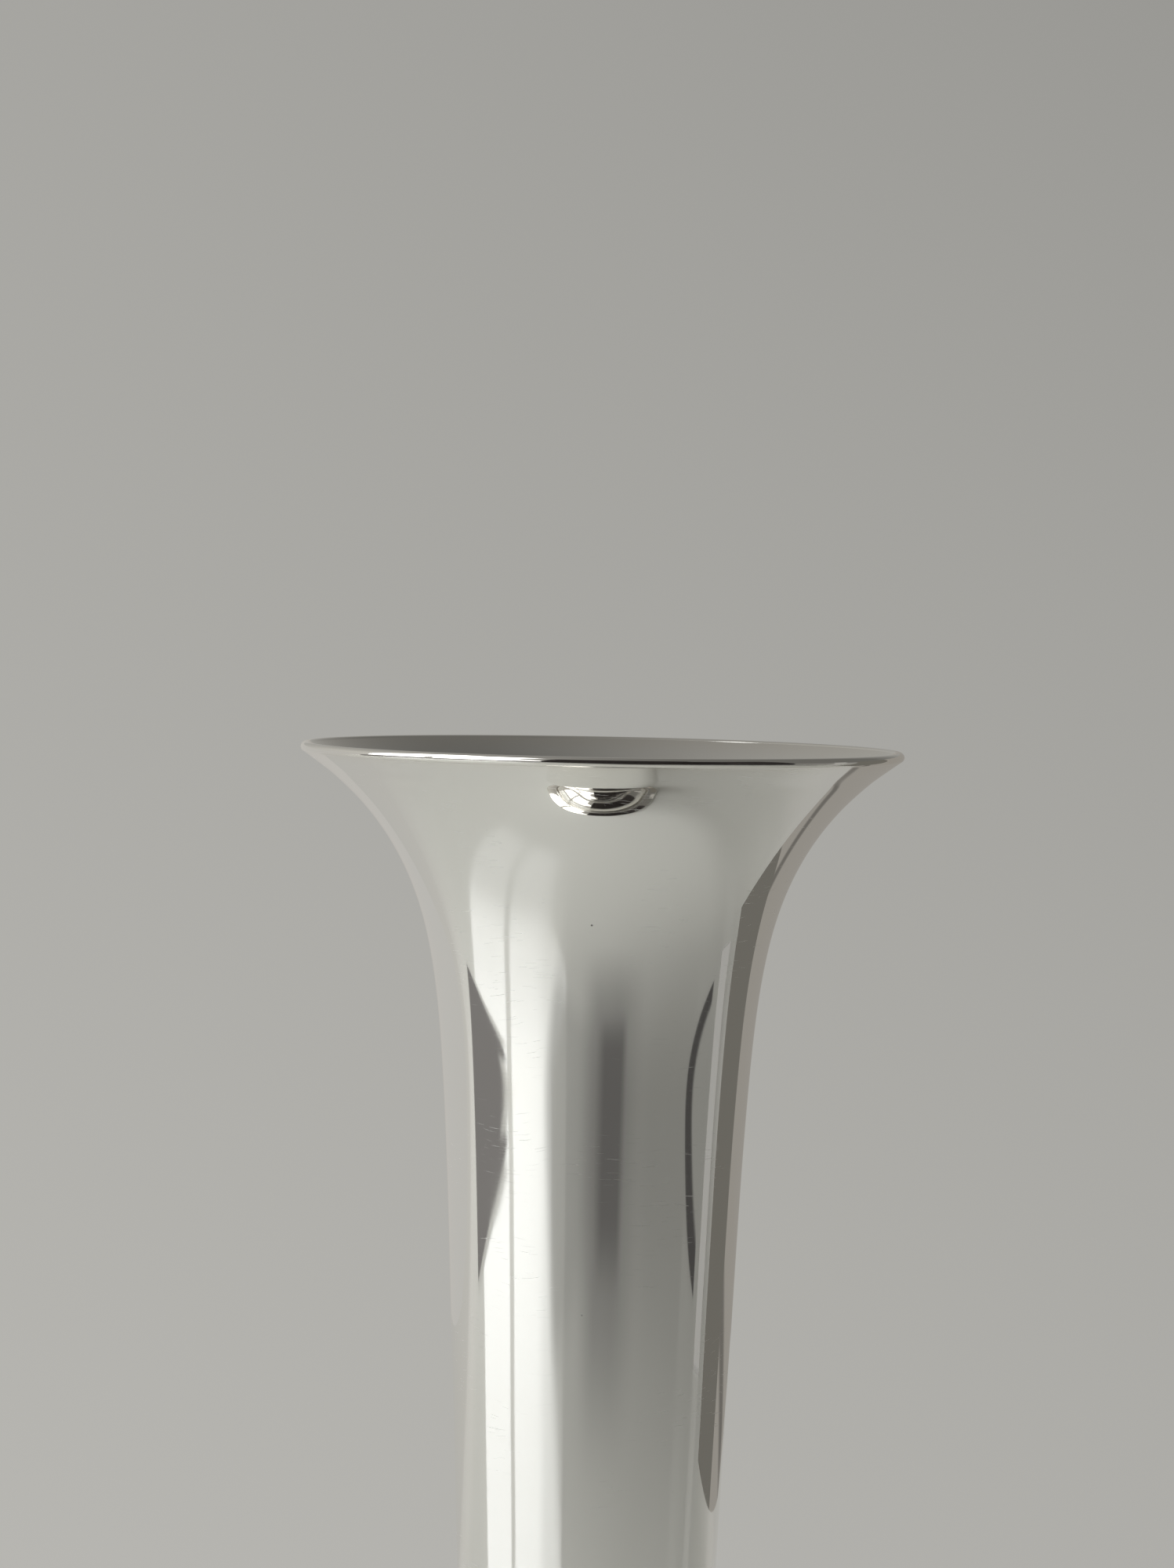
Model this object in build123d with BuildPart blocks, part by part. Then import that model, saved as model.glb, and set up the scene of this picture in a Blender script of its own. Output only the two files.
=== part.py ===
from build123d import *
import os
from math import cos, radians, sin, sqrt

os.makedirs("parts", exist_ok=True)

# Trumpet vase, spun and soldered from thin sheet metal. Millimetres, +Z up.
# The origin is the centre of the underside, on the surface the vase stands on.

# ---------------------------------------------------------------- driving dimensions
overall_height = 152.4  # underside of the pad to the top of the rim wire
sheet = 0.8  # wall of the spun pieces
rim_wire_d = 1.2  # round wire along the mouth
rim_wire_r = 35.95  # centre line of that wire: the mouth is 73.1 across
lip_gain = 0.34  # the sheet thickens inwards at the lip, flush with the top of the wire
lip_gain_height = 7.0  # height over which it does so
foot_radius = 31.6  # outer edge of the foot
foot_wire_d = 1.2  # round wire on the step of the foot
foot_wire_r = 25.4  # centre line of that wire
joint_z = 14.5  # where the tube stands on the foot
seat_hole_r = 10.5  # hole in the top of the foot
shoulder_r = 16.2  # edge of the flat seat on top of the foot
collar_height = 1.4  # half-round ring over the joint
collar_width = 0.76
cup_lip = 1.4  # height of the bottom disc with its turned-up edge
cup_sheet = 0.7
dome_base_r = foot_wire_r - foot_wire_d / 2  # the dome rises just inside the wire
dome_base_z = 5.3
flange_inner_z = 4.4  # top of the flange at the dome
flange_outer_z = 2.1  # top of the flange where its edge turns down
flange_turn = 32.0  # degrees the convex flange bends through
edge_width = 0.6  # width of the turned-down edge
lip_bottom_z = 0.5  # the rim of the foot stops short of the table
plate_bottom_z = 0.7
plate_top_z = 1.25
pad_radius = 30.6

rim_wire_z = overall_height - rim_wire_d / 2

# Outside of the body above the straight tube, radius against depth below the top.
# The wall leans 2 degrees at the tube, 54 degrees at the lip.
flare_depths = [
    (17.056, 71.775), (17.366, 64.475), (17.690, 57.175), (18.017, 50.605),
    (18.378, 44.400), (18.700, 39.655), (19.059, 35.275), (19.440, 31.625),
    (19.884, 28.340), (20.390, 25.420), (21.040, 22.500), (21.653, 20.310),
    (22.402, 18.120), (23.143, 16.295), (24.005, 14.470), (24.899, 12.828),
    (25.920, 11.185), (26.946, 9.725), (28.096, 8.265), (28.986, 7.243),
    (29.746, 6.440), (30.485, 5.710), (31.263, 4.980), (31.909, 4.396),
    (32.492, 3.885), (33.120, 3.374), (33.905, 2.790), (34.912, 2.060),
    (35.820, 1.403), (36.324, 1.038),
]
flare_profile = [(r, overall_height - depth) for r, depth in flare_depths]
tube_lean = 2.42  # degrees, the tube's wall from the vertical
lip_lean = 54.1  # degrees, the lip's wall from the vertical
tube_dir = (sin(radians(tube_lean)), cos(radians(tube_lean)))
lip_dir = (sin(radians(lip_lean)), cos(radians(lip_lean)))

# Straight tube below the flare: its outside and inside radius at a height.
flare_start_r, flare_start_z = flare_profile[0]
tube_slope = tube_dir[0] / tube_dir[1]


def tube_outside(z):
    return flare_start_r - (flare_start_z - z) * tube_slope


def tube_inside(z):
    return tube_outside(z) - sheet / tube_dir[1]


# Dome of the foot: a circular arc from the seat's shoulder to the step.
dome_top = (shoulder_r, joint_z)
dome_mid = (21.8, 10.6)
dome_end = (dome_base_r, dome_base_z)


def circle_through(a, b, c):
    d = 2 * (a[0] * (b[1] - c[1]) + b[0] * (c[1] - a[1]) + c[0] * (a[1] - b[1]))
    sa, sb, sc = (p[0] ** 2 + p[1] ** 2 for p in (a, b, c))
    x = (sa * (b[1] - c[1]) + sb * (c[1] - a[1]) + sc * (a[1] - b[1])) / d
    y = (sa * (c[0] - b[0]) + sb * (a[0] - c[0]) + sc * (b[0] - a[0])) / d
    return x, y, sqrt((a[0] - x) ** 2 + (a[1] - y) ** 2)


dome_cx, dome_cz, dome_r = circle_through(dome_top, dome_mid, dome_end)
inner_r = dome_r - sheet
seat_under_z = joint_z - sheet
dome_wall_r = dome_base_r - sheet  # inside of the dome's upright base
inner_top = (dome_cx + sqrt(inner_r**2 - (seat_under_z - dome_cz) ** 2), seat_under_z)
inner_end = (dome_wall_r, dome_cz + sqrt(inner_r**2 - (dome_wall_r - dome_cx) ** 2))
mid_angle_x = (inner_top[0] + inner_end[0]) / 2 - dome_cx
mid_angle_z = (inner_top[1] + inner_end[1]) / 2 - dome_cz
mid_len = sqrt(mid_angle_x**2 + mid_angle_z**2)
inner_mid = (
    dome_cx + inner_r * mid_angle_x / mid_len,
    dome_cz + inner_r * mid_angle_z / mid_len,
)

# Flange: a convex arc from the dome's base outwards, then a tighter one down to the lip.
flange_in = (dome_base_r, flange_inner_z)
flange_out = (foot_radius - edge_width, flange_outer_z)
run_r, run_z = flange_out[0] - flange_in[0], flange_out[1] - flange_in[1]
flange_chord = sqrt(run_r**2 + run_z**2)
flange_arc_r = flange_chord / (2 * sin(radians(flange_turn / 2)))
flange_drop = flange_arc_r * cos(radians(flange_turn / 2)) / flange_chord
flange_cx = (flange_in[0] + flange_out[0]) / 2 + run_z * flange_drop
flange_cz = (flange_in[1] + flange_out[1]) / 2 - run_r * flange_drop


def on_flange(r, offset=0.0):
    """Point of the flange's arc, or of one parallel to it, at a distance r from the axis."""
    return r, flange_cz + sqrt((flange_arc_r + offset) ** 2 - (r - flange_cx) ** 2)


# The edge's arc leaves the flange without a corner and ends upright.
edge_cos = (flange_out[0] - flange_cx) / flange_arc_r
edge_sin = (flange_out[1] - flange_cz) / flange_arc_r
edge_round = edge_width / (1 - edge_cos)
edge_cx, edge_cz = foot_radius - edge_round, flange_out[1] - edge_round * edge_sin
edge_mid_len = sqrt((1 + edge_cos) ** 2 + edge_sin**2)
edge_mid = (
    edge_cx + edge_round * (1 + edge_cos) / edge_mid_len,
    edge_cz + edge_round * edge_sin / edge_mid_len,
)

# The step's wire touches both the flange and the dome.
foot_wire_z = on_flange(foot_wire_r, foot_wire_d / 2)[1]
lip_inner_r = foot_radius - sheet
under_outer = (lip_inner_r, plate_top_z)
under_inner = on_flange(dome_wall_r, -sheet)
under_mid = on_flange((dome_wall_r + lip_inner_r) / 2, -sheet)

# ---------------------------------------------------------------- trumpet body
with BuildPart() as trumpet_body:
    with BuildSketch(Plane.XZ):
        with BuildLine():
            tube_out = Line((tube_outside(joint_z), joint_z), flare_profile[0])
            flare_out = Spline(*flare_profile, tangents=[tube_dir, lip_dir])
            # The inside follows the outside at one sheet's thickness, and runs smoothly
            # into the wire at the lip.
            inside = []
            for i in range(61):
                p = flare_out @ (i / 60)
                t = flare_out % (i / 60)
                rise = max(0.0, 1 - (flare_profile[-1][1] - p.Y) / lip_gain_height)
                thick = sheet + lip_gain * rise**2 * (3 - 2 * rise)
                inside.append((p.X - thick * t.Y, p.Y + thick * t.X))
            lip_end = Line(flare_profile[-1], inside[-1])
            flare_in = Spline(*inside, tangents=[tube_dir, lip_dir])
            tube_in = Line(inside[0], (tube_inside(joint_z), joint_z))
            foot_end = Line(
                (tube_inside(joint_z), joint_z), (tube_outside(joint_z), joint_z)
            )
        make_face()
        # The edge of the sheet is hollowed to take the rim wire.
        with Locations((rim_wire_r, rim_wire_z)):
            Circle(rim_wire_d / 2, mode=Mode.SUBTRACT)
    revolve(axis=Axis.Z)
trumpet_body.part.label = "trumpet_body"
export_step(trumpet_body.part, "parts/trumpet_body.step")

# ---------------------------------------------------------------- rim wire
with BuildPart() as rim_wire:
    with BuildSketch(Plane.XZ):
        with Locations((rim_wire_r, rim_wire_z)):
            Circle(rim_wire_d / 2)
    revolve(axis=Axis.Z)
rim_wire.part.label = "rim_wire"
export_step(rim_wire.part, "parts/rim_wire.step")

# ---------------------------------------------------------------- bottom of the body
# Disc with a turned-up edge, soldered inside the tube's lower end.
cup_top = joint_z + cup_lip
with BuildPart() as body_bottom:
    with BuildSketch(Plane.XZ) as cup_section:
        with BuildLine():
            Polyline(
                (0, joint_z),
                (tube_inside(joint_z), joint_z),
                (tube_inside(cup_top), cup_top),
                (tube_inside(cup_top) - cup_sheet, cup_top),
                (tube_inside(cup_top) - cup_sheet, joint_z + cup_sheet),
                (0, joint_z + cup_sheet),
                close=True,
            )
        make_face()
        inner_corner = cup_section.vertices().sort_by_distance(
            (tube_inside(cup_top) - cup_sheet, joint_z + cup_sheet)
        )[0]
        fillet(inner_corner, 0.5)
    revolve(axis=Axis.Z)
body_bottom.part.label = "body_bottom"
export_step(body_bottom.part, "parts/body_bottom.step")

# ---------------------------------------------------------------- collar ring
# Half-round ring round the tube, on the shoulder of the foot.
collar_top = joint_z + collar_height
collar_r = tube_outside(joint_z) + collar_width
with BuildPart() as collar_ring:
    with BuildSketch(Plane.XZ):
        with BuildLine():
            Line((tube_outside(joint_z), joint_z), (collar_r, joint_z))
            ThreePointArc(
                (collar_r, joint_z),
                (collar_r + 0.01, joint_z + 0.6 * collar_height),
                (tube_outside(collar_top), collar_top),
            )
            Line(
                (tube_outside(collar_top), collar_top),
                (tube_outside(joint_z), joint_z),
            )
        make_face()
    revolve(axis=Axis.Z)
collar_ring.part.label = "collar_ring"
export_step(collar_ring.part, "parts/collar_ring.step")

# ---------------------------------------------------------------- foot shell
with BuildPart() as foot_shell:
    with BuildSketch(Plane.XZ):
        with BuildLine():
            Line((seat_hole_r, joint_z), dome_top)
            ThreePointArc(dome_top, dome_mid, dome_end)
            Line(dome_end, flange_in)
            ThreePointArc(flange_in, on_flange((flange_in[0] + flange_out[0]) / 2), flange_out)
            ThreePointArc(flange_out, edge_mid, (foot_radius, edge_cz))
            Polyline(
                (foot_radius, edge_cz),
                (foot_radius, lip_bottom_z),
                (lip_inner_r, lip_bottom_z),
                under_outer,
            )
            ThreePointArc(under_outer, under_mid, under_inner)
            Line(under_inner, inner_end)
            ThreePointArc(inner_end, inner_mid, inner_top)
            Polyline(inner_top, (seat_hole_r, seat_under_z), (seat_hole_r, joint_z))
        make_face()
    revolve(axis=Axis.Z)
foot_shell.part.label = "foot_shell"
export_step(foot_shell.part, "parts/foot_shell.step")

# ---------------------------------------------------------------- foot wire
with BuildPart() as foot_wire:
    with BuildSketch(Plane.XZ):
        with Locations((foot_wire_r, foot_wire_z)):
            Circle(foot_wire_d / 2)
    revolve(axis=Axis.Z)
foot_wire.part.label = "foot_wire"
export_step(foot_wire.part, "parts/foot_wire.step")

# ---------------------------------------------------------------- filling of the foot
# Cast weight under the dome, up through the hole in the seat.
with BuildPart() as foot_filling:
    with BuildSketch(Plane.XZ):
        with BuildLine():
            Polyline(
                (0, joint_z),
                (0, plate_top_z),
                (dome_wall_r, plate_top_z),
                inner_end,
            )
            ThreePointArc(inner_end, inner_mid, inner_top)
            Polyline(
                inner_top, (seat_hole_r, seat_under_z), (seat_hole_r, joint_z), (0, joint_z)
            )
        make_face()
    revolve(axis=Axis.Z)
foot_filling.part.label = "foot_filling"
export_step(foot_filling.part, "parts/foot_filling.step")

# ---------------------------------------------------------------- base plate
with BuildPart() as base_plate:
    with BuildSketch(Plane.XY.offset(plate_bottom_z)):
        Circle(lip_inner_r)
    extrude(amount=plate_top_z - plate_bottom_z)
base_plate.part.label = "base_plate"
export_step(base_plate.part, "parts/base_plate.step")

# ---------------------------------------------------------------- baize pad
with BuildPart() as baize_pad:
    with BuildSketch(Plane.XY):
        Circle(pad_radius)
    extrude(amount=plate_bottom_z)
baize_pad.part.label = "baize_pad"
export_step(baize_pad.part, "parts/baize_pad.step")
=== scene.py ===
import math

import bpy
import numpy as np
from mathutils import Matrix, Vector


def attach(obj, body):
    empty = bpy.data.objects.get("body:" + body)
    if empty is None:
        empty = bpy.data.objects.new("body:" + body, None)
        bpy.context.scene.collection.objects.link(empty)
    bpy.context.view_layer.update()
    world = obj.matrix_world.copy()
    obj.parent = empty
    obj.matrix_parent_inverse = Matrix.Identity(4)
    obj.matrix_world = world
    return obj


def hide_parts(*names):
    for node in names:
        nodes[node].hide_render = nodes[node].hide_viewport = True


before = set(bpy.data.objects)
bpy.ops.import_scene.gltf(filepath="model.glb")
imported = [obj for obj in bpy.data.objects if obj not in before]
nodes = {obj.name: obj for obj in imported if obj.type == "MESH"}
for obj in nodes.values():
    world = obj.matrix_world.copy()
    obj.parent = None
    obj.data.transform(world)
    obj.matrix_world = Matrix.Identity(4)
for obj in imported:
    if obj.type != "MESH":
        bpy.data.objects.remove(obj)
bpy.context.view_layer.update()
scene = bpy.context.scene
scene.view_settings.view_transform = "Standard"
scene.view_settings.look = "None"

# ------------------------------------------------------------------ dimensions, mm
SHEET = 0.8
JOINT_Z = 14.5
RIM_R, RIM_Z, RIM_WIRE = 35.95, 151.8, 0.6
LIP_GAIN, LIP_RISE, LIP_END = 0.34, 7.0, 151.362
FOOT_R = 31.6
FOOT_WIRE_R, FOOT_WIRE = 25.4, 0.6
DOME = ((16.2, 14.5), (21.8, 10.6), (24.8, 5.3))
FLANGE_IN, FLANGE_OUT, FLANGE_TURN, EDGE_W = 4.4, 2.1, 32.0, 0.6
PLATE_TOP = 1.25
COLLAR_W, COLLAR_H = 0.76, 1.4
SEAT_HOLE = 10.5
PAD_R = 30.6

# Lean of the wall from the vertical (degrees) against height, in units of 36.5 mm
# below the rim. The radius follows by summing the lean.
UNIT = 36.5
LEAN = (
    (-4.2, 2.42), (-2.6, 2.42), (-1.95, 2.42), (-1.55, 2.66), (-1.2, 3.62), (-0.95, 5.26),
    (-0.76, 8.73), (-0.60, 14.18), (-0.48, 20.6), (-0.38, 26.95), (-0.29, 33.55),
    (-0.21, 39.85), (-0.169, 43.6), (-0.156, 44.9), (-0.144, 45.8), (-0.124, 47.25),
    (-0.104, 48.25), (-0.094, 49.0), (-0.084, 50.6), (-0.074, 52.7), (-0.056, 54.0),
    (-0.03, 54.1), (-0.01, 54.1),
)


def natural_spline(x, y, xs):
    x, y = np.array(x, float), np.array(y, float)
    n, h = len(x), np.diff(np.array(x, float))
    a, b = np.zeros((n, n)), np.zeros(n)
    a[0, 0] = a[-1, -1] = 1
    for i in range(1, n - 1):
        a[i, i - 1], a[i, i], a[i, i + 1] = h[i - 1], 2 * (h[i - 1] + h[i]), h[i]
        b[i] = 6 * ((y[i + 1] - y[i]) / h[i] - (y[i] - y[i - 1]) / h[i - 1])
    m = np.linalg.solve(a, b)
    k = np.clip(np.searchsorted(x, xs) - 1, 0, n - 2)
    d = xs - x[k]
    return (
        y[k]
        + d * ((y[k + 1] - y[k]) / h[k] - h[k] * (2 * m[k] + m[k + 1]) / 6)
        + d**2 * m[k] / 2
        + d**3 * (m[k + 1] - m[k]) / (6 * h[k])
    )


def wall_table():
    """Radius, height and lean of the outside, finely spaced, from the foot to the lip."""
    u = np.linspace((JOINT_Z - RIM_Z) / UNIT, -0.008, 14000)
    lean = np.radians(natural_spline([p[0] for p in LEAN], [p[1] for p in LEAN], u))
    t = np.tan(lean)
    r = np.r_[0, np.cumsum((t[1:] + t[:-1]) / 2 * np.diff(u))]
    r += 0.5035 - np.interp(-1.2, u, r)
    return r * UNIT, RIM_Z + u * UNIT, lean


WALL_R, WALL_Z, WALL_LEAN = wall_table()


def wall(zs, inside=False):
    """Points of the outside, or of the inside, level with the outside's heights zs."""
    r, lean = np.interp(zs, WALL_Z, WALL_R), np.interp(zs, WALL_Z, WALL_LEAN)
    z = np.array(zs, float)
    if inside:
        rise = np.clip(1 - (LIP_END - z) / LIP_RISE, 0, 1)
        thick = SHEET + LIP_GAIN * rise**2 * (3 - 2 * rise)
        r, z = r - thick * np.cos(lean), z + thick * np.sin(lean)
    return np.stack([r, z], -1)


def meets_wire(inside):
    """Height, on the outside's scale, at which the wall runs into the rim wire."""
    zs = np.linspace(RIM_Z - 2.4, WALL_Z[-1], 4000)
    p = wall(zs, inside)
    gap = np.hypot(p[:, 0] - RIM_R, p[:, 1] - RIM_Z) - RIM_WIRE
    return float(zs[np.argmax(gap < 0)])


# ------------------------------------------------------------------ lathe
def arc_run(centre, radius, a0, a1, n):
    a = np.radians(np.linspace(a0, a1, n))
    return np.stack([centre[0] + radius * np.cos(a), centre[1] + radius * np.sin(a)], -1)


def line_run(a, b, n=2):
    t = np.linspace(0, 1, n)[:, None]
    return np.array(a, float) * (1 - t) + np.array(b, float) * t


def eased_line(a, b, n, power=1.0):
    t = np.linspace(0, 1, n)[:, None] ** power
    return np.array(a, float) * (1 - t) + np.array(b, float) * t


def circle_through(a, b, c):
    d = 2 * (a[0] * (b[1] - c[1]) + b[0] * (c[1] - a[1]) + c[0] * (a[1] - b[1]))
    sa, sb, sc = (p[0] ** 2 + p[1] ** 2 for p in (a, b, c))
    x = (sa * (b[1] - c[1]) + sb * (c[1] - a[1]) + sc * (a[1] - b[1])) / d
    y = (sa * (c[0] - b[0]) + sb * (a[0] - c[0]) + sc * (b[0] - a[0])) / d
    return x, y, math.hypot(a[0] - x, a[1] - y)


def slopes(p, s):
    """First derivative of p along axis 0 at places s, second order, ends included."""
    out = np.empty_like(p)
    if len(p) == 2:
        out[:] = (p[1] - p[0]) / (s[1] - s[0])
        return out
    h1, h2 = (s[1:-1] - s[:-2])[:, None, None], (s[2:] - s[1:-1])[:, None, None]
    back, ahead = (p[1:-1] - p[:-2]) / h1, (p[2:] - p[1:-1]) / h2
    out[1:-1] = (back * h2 + ahead * h1) / (h1 + h2)
    out[0] = 2 * ahead[0] * 0 + 2 * back[0] - out[1]
    out[-1] = 2 * ahead[-1] - out[-2]
    return out


def lathe(name, runs, segments, ripple=None, closed=True):
    """Turns a profile about Z. Runs follow each other end to end; a corner lies between two runs.
    ripple(angle, r, z) gives a small outward shift in mm. Returns the object and each face's run."""
    rings, run_rings = [], []
    for run in runs:
        here = []
        for i, p in enumerate(run):
            if rings and i == 0:
                here.append(len(rings) - 1)
            else:
                rings.append((float(p[0]), float(p[1])))
                here.append(len(rings) - 1)
        run_rings.append(here)
    if closed:
        run_rings[-1][-1] = 0
        rings.pop()
    rings = np.array(rings)
    ang = 2 * math.pi * np.arange(segments) / segments
    r = rings[:, 0][:, None] * np.ones(segments)
    z = rings[:, 1][:, None] * np.ones(segments)
    if ripple:
        r = r + ripple(ang[None, :], r, z) * (r > 1e-6)
    pos = np.stack([r * np.cos(ang), r * np.sin(ang), z], -1) / 1000
    length = np.r_[0, np.cumsum(np.hypot(*np.diff(rings, axis=0).T))]
    total = length[-1] + np.hypot(*(rings[0] - rings[-1]))

    index = np.arange(len(rings) * segments).reshape(len(rings), segments)
    poles = rings[:, 0] < 1e-6
    index[poles] = index[poles, :1]
    verts, faces, normals, uvs, face_run = pos.reshape(-1, 3), [], [], [], []
    for n_run, here in enumerate(run_rings):
        grid = pos[here]
        s = np.r_[0, np.cumsum(np.linalg.norm(np.diff(rings[here], axis=0), axis=1))]
        along = slopes(grid, s)
        around = np.roll(grid, -1, 1) - np.roll(grid, 1, 1)
        flat = np.linalg.norm(around, axis=2) < 1e-9
        tangent = np.stack([-np.sin(ang), np.cos(ang), 0 * ang], -1)
        around = np.where(flat[:, :, None], tangent[None], around)
        nrm = np.cross(around, along)
        nrm /= np.maximum(np.linalg.norm(nrm, axis=2, keepdims=True), 1e-12)
        for i in range(len(here) - 1):
            a, b = here[i], here[i + 1]
            va, vb = length[a], (length[b] if b else total)
            for k in range(segments):
                k2 = (k + 1) % segments
                corner = [(a, k, i, va, k), (a, k2, i, va, k + 1), (b, k2, i + 1, vb, k + 1), (b, k, i + 1, vb, k)]
                if poles[a]:
                    corner.pop(1)
                elif poles[b]:
                    corner.pop(2)
                faces.append([int(index[c[0], c[1]]) for c in corner])
                normals.extend(nrm[c[2], c[1]] for c in corner)
                uvs.extend((0.01 + 0.98 * c[4] / segments, 0.01 + 0.98 * c[3] / total) for c in corner)
                face_run.append(n_run)
    used = np.unique(np.array([v for f in faces for v in f]))
    new = {int(v): i for i, v in enumerate(used)}
    mesh = bpy.data.meshes.new(name)
    mesh.from_pydata([tuple(map(float, verts[v])) for v in used], [], [[new[v] for v in f] for f in faces])
    mesh.update()
    mesh.polygons.foreach_set("use_smooth", [True] * len(mesh.polygons))
    layer = mesh.uv_layers.new(name="OFBake")
    layer.uv.foreach_set("vector", np.array(uvs, np.float32).ravel())
    mesh.normals_split_custom_set([tuple(map(float, n)) for n in normals])
    obj = bpy.data.objects.new(name, mesh)
    scene.collection.objects.link(obj)
    return obj, face_run


def ripples(seed, size, count=7):
    """A faint unevenness of hand-finished sheet: slow waves, size mm high."""
    rng = np.random.RandomState(seed)
    waves = [
        (rng.randint(1, 7), rng.uniform(0.05, 0.32), rng.uniform(0, 6.28), rng.uniform(0, 6.28))
        for _ in range(count)
    ]

    def shift(angle, r, z):
        h = 0
        for m, k, p, q in waves:
            h = h + np.cos(m * angle + p) * np.cos(k * z + q)
        return h * size / math.sqrt(count)

    return shift


# ------------------------------------------------------------------ material helpers
class Nodes:
    def __init__(self, name):
        self.mat = bpy.data.materials.new(name)
        self.mat.use_nodes = True
        self.tree = self.mat.node_tree
        self.bsdf = self.tree.nodes["Principled BSDF"]

    def new(self, kind, **values):
        node = self.tree.nodes.new(kind)
        for k, v in values.items():
            setattr(node, k, v)
        return node

    def link(self, a, b):
        self.tree.links.new(a, b)

    def put(self, socket, value):
        if isinstance(value, bpy.types.NodeSocket):
            self.link(value, socket)
        else:
            socket.default_value = value

    def math(self, op, a, b=None, c=None, clamp=False):
        n = self.new("ShaderNodeMath", operation=op, use_clamp=clamp)
        for s, v in zip(n.inputs, (a, b, c)):
            if v is not None:
                self.put(s, v)
        return n.outputs[0]

    def ramp(self, value, lo, hi, out_lo=0.0, out_hi=1.0, smooth=True):
        n = self.new("ShaderNodeMapRange", interpolation_type="SMOOTHSTEP" if smooth else "LINEAR")
        n.clamp = True
        for s, v in zip(n.inputs[:5], (value, lo, hi, out_lo, out_hi)):
            self.put(s, v)
        return n.outputs[0]

    def combine(self, x, y, z):
        n = self.new("ShaderNodeCombineXYZ")
        for s, v in zip(n.inputs, (x, y, z)):
            self.put(s, v)
        return n.outputs[0]

    def mapping(self, vector, rotation=(0, 0, 0), scale=(1, 1, 1), location=(0, 0, 0)):
        n = self.new("ShaderNodeMapping")
        self.link(vector, n.inputs["Vector"])
        n.inputs["Rotation"].default_value = rotation
        n.inputs["Scale"].default_value = scale
        n.inputs["Location"].default_value = location
        return n.outputs[0]

    def noise(self, vector, scale=1.0, detail=0.0, rough=0.5, dims="3D", distortion=0.0):
        n = self.new("ShaderNodeTexNoise", noise_dimensions=dims)
        self.link(vector, n.inputs["Vector"])
        n.inputs["Scale"].default_value = scale
        n.inputs["Detail"].default_value = detail
        n.inputs["Roughness"].default_value = rough
        n.inputs["Distortion"].default_value = distortion
        return n.outputs[0]

    def mix(self, factor, a, b):
        n = self.new("ShaderNodeMix", data_type="RGBA", blend_type="MIX")
        n.clamp_factor = True
        self.put(n.inputs[0], factor)
        self.put(n.inputs[6], a)
        self.put(n.inputs[7], b)
        return n.outputs[2]


def rgb(r, g, b):
    return (r, g, b, 1.0)


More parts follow.
